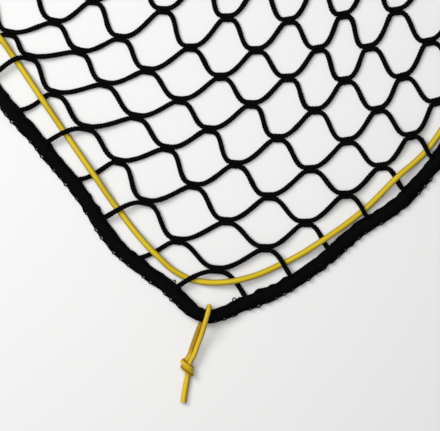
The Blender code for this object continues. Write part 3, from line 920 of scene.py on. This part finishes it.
def elastic_stops():
    """The ring's stops: one on each side of every bar, and one between two bars."""
    crossings = []
    for side in SIDES:
        bars = range(1, side.count)
        for n in bars if side.turn > 0 else reversed(bars):
            bar = edge_bars[(side.name, n)]
            crossings.append((side, bar.plan(bar.cross), ELASTIC_LOW if bar.over else ELASTIC_HIGH))
    count = len(crossings)
    ways = [unit(crossings[(k + 1) % count][1] - crossings[k - 1][1]) for k in range(count)]
    stops = []
    clear = BAR_WIDTH / 2 + ELASTIC_DIAMETER / 2
    for k, (side, at, height) in enumerate(crossings):
        next_side, following, next_height = crossings[(k + 1) % count]
        way, next_way = ways[k], ways[(k + 1) % count]
        leave, arrive = at + way * clear, following - next_way * clear
        stops += [placed(at - way * clear, height), placed(leave, height)]
        if next_side.name == side.name:
            # A flat arc stands off its chord by an eighth of the chord times the arc's turn
            bulge = (way - next_way) * np.linalg.norm(arrive - leave) / 8
            middle = (leave + arrive) / 2 + bulge
        else:
            turn_at = side.first + (side.count if side.turn > 0 else 0)
            middle = (at + following) / 2
            middle += unit(RIM[turn_at * RIM_STEPS % len(RIM)] - middle) * ELASTIC_CORNER
        stops.append(placed(middle, (height + next_height) / 2))
    return stops


elastic_line = even_line(smooth_route(elastic_stops(), 10, True), ELASTIC_STEP * MM, True)
elastic_line = averaged_ring(elastic_line, ELASTIC_SMOOTHING)
elastic_line[:, 2] = np.clip(elastic_line[:, 2], ELASTIC_LOW * MM, ELASTIC_HIGH * MM)
ring = Strands()
ring.tube(elastic_line, *level_frame(elastic_line, True), ELASTIC_DIAMETER / 2 * MM, ELASTIC_SIDES, True)
elastic = ring.piece("elastic_ring")
print("the elastic is", whole_length(elastic_line, True), "m round")

# %% [markdown]
# ## Finishes
#
# Four effects are shared. Twisted fibres run at a slant along a yarn, so they are stripes on the
# yarn map. A braided sheath has two sets of such stripes that cross. Lint is what a black net
# shows first: a fine pale dust that catches in it, which is noise in the net's own coordinates. The
# last is painted shade: a cord's two sides are coloured darker, where a round cord turns from the light.
# Each effect is a group of nodes with named inputs, built once and used with other values.


# %% Node group helpers
def new_group(name, inputs, outputs):
    """An empty group. inputs gives each number its usual value, and a vector None."""
    tree = bpy.data.node_groups.new(name, "ShaderNodeTree")
    for label, value in inputs.items():
        kind = "NodeSocketVector" if value is None else "NodeSocketFloat"
        socket = tree.interface.new_socket(label, in_out="INPUT", socket_type=kind)
        if value is not None:
            socket.default_value = value
    for label in outputs:
        tree.interface.new_socket(label, in_out="OUTPUT", socket_type="NodeSocketFloat")
    return tree, tree.nodes.new("NodeGroupInput"), tree.nodes.new("NodeGroupOutput")


def feed(tree, value, socket):
    """Gives a socket its value: the output of another node, a number or a colour."""
    if isinstance(value, bpy.types.NodeSocket):
        tree.links.new(value, socket)
    else:
        socket.default_value = (*value, 1) if isinstance(value, tuple) else value


def calc(tree, operation, *values):
    node = tree.nodes.new("ShaderNodeMath")
    node.operation = operation
    for socket, value in zip(node.inputs, values):
        feed(tree, value, socket)
    return node.outputs[0]


def from_0_to_1(tree, value):
    return calc(tree, "MINIMUM", calc(tree, "MAXIMUM", value, 0.0), 1.0)


def yarn_place(tree, given):
    """The two numbers of the yarn map: the share of the way round, and millimetres along."""
    parts = tree.nodes.new("ShaderNodeSeparateXYZ")
    tree.links.new(given.outputs["Yarn"], parts.inputs[0])
    return parts.outputs["X"], parts.outputs["Y"]


def stripe_place(tree, given, count):
    """The same, counted in stripes round the yarn and in lays along it."""
    around, along = yarn_place(tree, given)
    around = calc(tree, "MULTIPLY", around, given.outputs[count])
    return around, calc(tree, "DIVIDE", along, given.outputs["Lay"])


# %% Twisted fibres
def make_fibres():
    inputs = {"Yarn": None, "Fibres": 6.0, "Lay": 5.0}
    tree, given, made = new_group("Twisted fibres", inputs, ["Height"])
    turn = calc(tree, "ADD", *stripe_place(tree, given, "Fibres"))
    wave = calc(tree, "SINE", calc(tree, "MULTIPLY", turn, 2 * math.pi))
    tree.links.new(calc(tree, "MULTIPLY_ADD", wave, 0.5, 0.5), made.inputs["Height"])
    return tree


fibres_group = make_fibres()


# %% Braided sheath
def make_sheath():
    inputs = {"Yarn": None, "Yarns": 8.0, "Lay": 2.6}
    tree, given, made = new_group("Braided sheath", inputs, ["Height", "Leaning"])
    around, along = stripe_place(tree, given, "Yarns")
    turns = calc(tree, "ADD", around, along), calc(tree, "SUBTRACT", around, along)
    waves = [calc(tree, "SINE", calc(tree, "MULTIPLY", turn, math.pi)) for turn in turns]
    both = calc(tree, "MULTIPLY", *waves)
    height = calc(tree, "SQRT", calc(tree, "ABSOLUTE", both))
    tree.links.new(height, made.inputs["Height"])
    tree.links.new(calc(tree, "GREATER_THAN", both, 0.0), made.inputs["Leaning"])
    return tree


sheath_group = make_sheath()


# %% Lint
SPECKLE = 0.12  # its size as a share of a patch's
BARE, COVERED = 0.75, 0.5  # dust lies where the noise is over BARE - COVERED * cover
PATCH_EDGE = 6.0  # how sharply a patch ends
LINT_DETAIL = 3


def make_lint():
    tree, given, made = new_group("Lint", {"Size": 2.0, "Cover": 0.4}, ["Mask", "Speckle"])
    place = tree.nodes.new("ShaderNodeTexCoord")
    noises = []
    for share in (1.0, SPECKLE):
        noise = tree.nodes.new("ShaderNodeTexNoise")
        noise.inputs["Detail"].default_value = LINT_DETAIL
        scale = calc(tree, "DIVIDE", 1 / MM, calc(tree, "MULTIPLY", given.outputs["Size"], share))
        tree.links.new(scale, noise.inputs["Scale"])
        tree.links.new(place.outputs["Object"], noise.inputs["Vector"])
        noises.append(noise.outputs[0])
    lower = calc(tree, "MULTIPLY", given.outputs["Cover"], COVERED)
    over = calc(tree, "SUBTRACT", noises[0], calc(tree, "SUBTRACT", BARE, lower))
    mask = from_0_to_1(tree, calc(tree, "MULTIPLY", over, PATCH_EDGE))
    tree.links.new(mask, made.inputs["Mask"])
    tree.links.new(noises[1], made.inputs["Speckle"])
    return tree


lint_group = make_lint()


# %% Painted shade on the cords' sides
SHADE_EDGE = 4.5  # how sharply the painted shade on the sides ends towards the top
SHADOW_ALL_ROUND = 0.7  # how strong the painted shadow is all round along the given length
SHADOW_FADE = 8.0  # millimetres over which that dies out


# Painted shade: 1 at a cord's two sides and, along a given length from its start, a painted shadow all
# round
def make_edge_shade():
    tree, given, made = new_group("Painted edge shade", {"Yarn": None, "Length": 0.0}, ["Mask"])
    around, along = yarn_place(tree, given)
    aside = calc(tree, "COSINE", calc(tree, "MULTIPLY", around, 2 * math.pi))
    sides = calc(tree, "POWER", calc(tree, "ABSOLUTE", aside), SHADE_EDGE)
    left_over = calc(tree, "SUBTRACT", given.outputs["Length"], along)
    fade = from_0_to_1(tree, calc(tree, "DIVIDE", left_over, SHADOW_FADE))
    all_round = calc(tree, "MULTIPLY", fade, SHADOW_ALL_ROUND)
    tree.links.new(calc(tree, "MAXIMUM", sides, all_round), made.inputs["Mask"])
    return tree


edge_shade_group = make_edge_shade()
print("shared effects:", ", ".join(group.name for group in bpy.data.node_groups))


# %% Material helpers
class Finish:
    """A material with its shader, and the few links that every finish here needs."""

    def __init__(self, name, roughness, specular):
        self.material = bpy.data.materials.new(name)
        self.material.use_nodes = True
        self.tree = self.material.node_tree
        self.shader = self.tree.nodes["Principled BSDF"]
        self.shader.inputs["Roughness"].default_value = roughness
        self.shader.inputs["Specular IOR Level"].default_value = specular

    def place(self, group, **values):
        """One of the shared groups, with those values."""
        node = self.tree.nodes.new("ShaderNodeGroup")
        node.node_tree = group
        if "Yarn" in node.inputs:
            yarn = self.tree.nodes.new("ShaderNodeUVMap")
            yarn.uv_map = "yarn"
            self.tree.links.new(yarn.outputs[0], node.inputs["Yarn"])
        for label, value in values.items():
            node.inputs[label].default_value = value
        return node

    def blend(self, mask, low, high):
        """Between two colours by a mask. Either can be the output of another blend."""
        node = self.tree.nodes.new("ShaderNodeMix")
        node.data_type = "RGBA"
        self.tree.links.new(mask, node.inputs["Factor"])
        colours = [socket for socket in node.inputs if socket.type == "RGBA"]
        feed(self.tree, low, colours[0])
        feed(self.tree, high, colours[1])
        return [socket for socket in node.outputs if socket.type == "RGBA"][0]

    def colour(self, value):
        feed(self.tree, value, self.shader.inputs["Base Color"])

    def raised(self, height, distance):
        """Relief so many millimetres deep."""
        bump = self.tree.nodes.new("ShaderNodeBump")
        bump.inputs["Distance"].default_value = distance * MM
        self.tree.links.new(height, bump.inputs["Height"])
        self.tree.links.new(bump.outputs[0], self.shader.inputs["Normal"])


# %% [markdown]
# ## Black twine
#
# Black twine throws back almost no light, and a gloss would make plastic of it. Its strands show
# by slightly paler fibres and by dust. The fibres are a bump, too fine for faces of their own.

# %% Black twine and border
BLACK, WORN_BLACK = (0.0008, 0.0008, 0.0009), (0.0026, 0.0026, 0.0028)
FIBRE_RELIEF = 0.14


def black_fibre(name, lint, cover):
    finish = Finish(name, roughness=0.9, specular=0.04)
    fibres = finish.place(fibres_group, Fibres=5.0, Lay=3.2)
    dust = finish.place(lint_group, Size=2.2, Cover=cover)
    colour = finish.blend(fibres.outputs["Height"], BLACK, WORN_BLACK)
    finish.colour(finish.blend(dust.outputs["Mask"], colour, lint))
    height = calc(finish.tree, "ADD", fibres.outputs["Height"], dust.outputs["Speckle"])
    finish.raised(height, FIBRE_RELIEF)
    return finish.material


twine = black_fibre("Black twine", lint=(0.01, 0.01, 0.0105), cover=0.2)
knit = black_fibre("Black border yarn", lint=(0.012, 0.012, 0.0125), cover=0.25)
print("black finishes:", twine.name, "and", knit.name)

# %% [markdown]
# ## Yellow cords
#
# Both yellow cords are braided, the elastic finely and the ties coarsely, so one function makes
# both. Their sides get painted shade, and the strand of a tie that goes under the border gets a
# painted shadow all round along its first stretch, for the shade of the border and the other strand.

# %% Yellow elastic and tie cord
FIBRES_IN_YARN = 3
FIBRE_SHARE = 0.2  # of the fibres in the relief, beside 1 of the braid


def yellow_sheath(name, colours, roughness, yarns, lay, depth, painted_shade_length=0.0):
    seam, yarn, leaning, painted_shade = colours
    finish = Finish(name, roughness, specular=0.18)
    sheath = finish.place(sheath_group, Yarns=yarns, Lay=lay)
    fibres = finish.place(fibres_group, Fibres=yarns * FIBRES_IN_YARN, Lay=lay)
    colour = finish.blend(sheath.outputs["Leaning"], yarn, leaning)
    colour = finish.blend(sheath.outputs["Height"], seam, colour)
    # Painted shade on the sides, and a painted shadow all round along the given length
    sides = finish.place(edge_shade_group, Length=painted_shade_length)
    finish.colour(finish.blend(sides.outputs["Mask"], colour, painted_shade))
    fine, coarse = fibres.outputs["Height"], sheath.outputs["Height"]
    finish.raised(calc(finish.tree, "MULTIPLY_ADD", fine, FIBRE_SHARE, coarse), depth)
    return finish.material


# Seams, yarns that lean one way, yarns that lean the other, and the painted shade
ELASTIC_COLOURS = (0.46, 0.32, 0.006), (0.65, 0.485, 0.009), (0.62, 0.455, 0.008), (0.15, 0.09, 0.004)
TIE_COLOURS = (0.42, 0.28, 0.006), (0.72, 0.53, 0.016), (0.73, 0.485, 0.012), (0.22, 0.1, 0.004)
# Millimetres of painted shadow all round each strand that goes under the border, for the shade of the
# border and the other strand above it
PAINTED_SHADOW_LENGTH = 58.0
tie_braid = {"roughness": 0.6, "yarns": BRAID_YARNS, "lay": BRAID_LAY, "depth": 0.12}
elastic_braid = {"roughness": 0.42, "yarns": 12, "lay": 1.1, "depth": 0.1}
elastic_finish = yellow_sheath("Yellow elastic", ELASTIC_COLOURS, **elastic_braid)
tie_finish = yellow_sheath("Yellow tie cord", TIE_COLOURS, **tie_braid)
shadowed_tie = yellow_sheath(
    "Yellow tie cord, shadowed", TIE_COLOURS, **tie_braid, painted_shade_length=PAINTED_SHADOW_LENGTH
)
print("shadowed:", PAINTED_SHADOW_LENGTH, "mm of each strand under the border")

# %% Dress the pieces
for pieces, finish, slot in (
    ([net_laid, *net_stitches], twine, "twine"),
    ([*border_knit, border_laid, border_edge], knit, "border_knit"),
    ([elastic], elastic_finish, "elastic"),
):
    for piece in pieces:
        piece.data.materials.append(finish)
        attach(piece, "root")
    print(slot, "pieces:", len(pieces))
for cord in ties:
    cord.data.materials.append(tie_finish if cord.name.endswith("free_end") else shadowed_tie)
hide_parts("net")
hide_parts("border")
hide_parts("elastic_cord")

# %% [markdown]
# ## Floor and light
#
# A catalogue picture has a pale floor and a large soft light from the upper left, so a strand's
# shadow falls just to its right and below it and has no hard edge.

# %% Floor
FLOOR_HALF = 6.0  # metres

floor_data = bpy.data.meshes.new("Floor")
corners = [(x * FLOOR_HALF, y * FLOOR_HALF, 0) for x, y in ((-1, -1), (1, -1), (1, 1), (-1, 1))]
floor_data.from_pydata(corners, [], [(0, 1, 2, 3)])
floor = new_object("Floor", floor_data)
paper = Finish("Pale floor", roughness=0.9, specular=0.1)
paper.colour((0.71, 0.71, 0.705))
floor_data.materials.append(paper.material)
print("the floor is", 2 * FLOOR_HALF, "m wide")

# %% Lights
WORLD_LIGHT = 0.2  # from all round


def soft_light(name, left, up, height, size, power):
    """A round light so far aside and above, in millimetres, aimed at the picture's middle."""
    place = placed(PICTURE_MIDDLE - ALONG * left + ASIDE * up, height)
    data = bpy.data.lights.new(name, "AREA")
    data.shape = "DISK"
    data.size = size
    data.energy = power
    light = new_object(name, data)
    light.location = place
    aim = placed(PICTURE_MIDDLE, 0) - place
    light.rotation_euler = Vector(aim).to_track_quat("-Z", "Y").to_euler()
    print(name, "at", place.round(2))


soft_light("Key light", left=1500, up=1150, height=1800, size=1.2, power=38)
soft_light("Overhead light", left=400, up=200, height=1700, size=2.0, power=28)
world = bpy.data.worlds.new("Studio")
world.use_nodes = True
background = world.node_tree.nodes["Background"]
background.inputs["Color"].default_value = (1, 1, 1, 1)
background.inputs["Strength"].default_value = WORLD_LIGHT
bpy.context.scene.world = world
bpy.context.scene.view_settings.view_transform = "Standard"
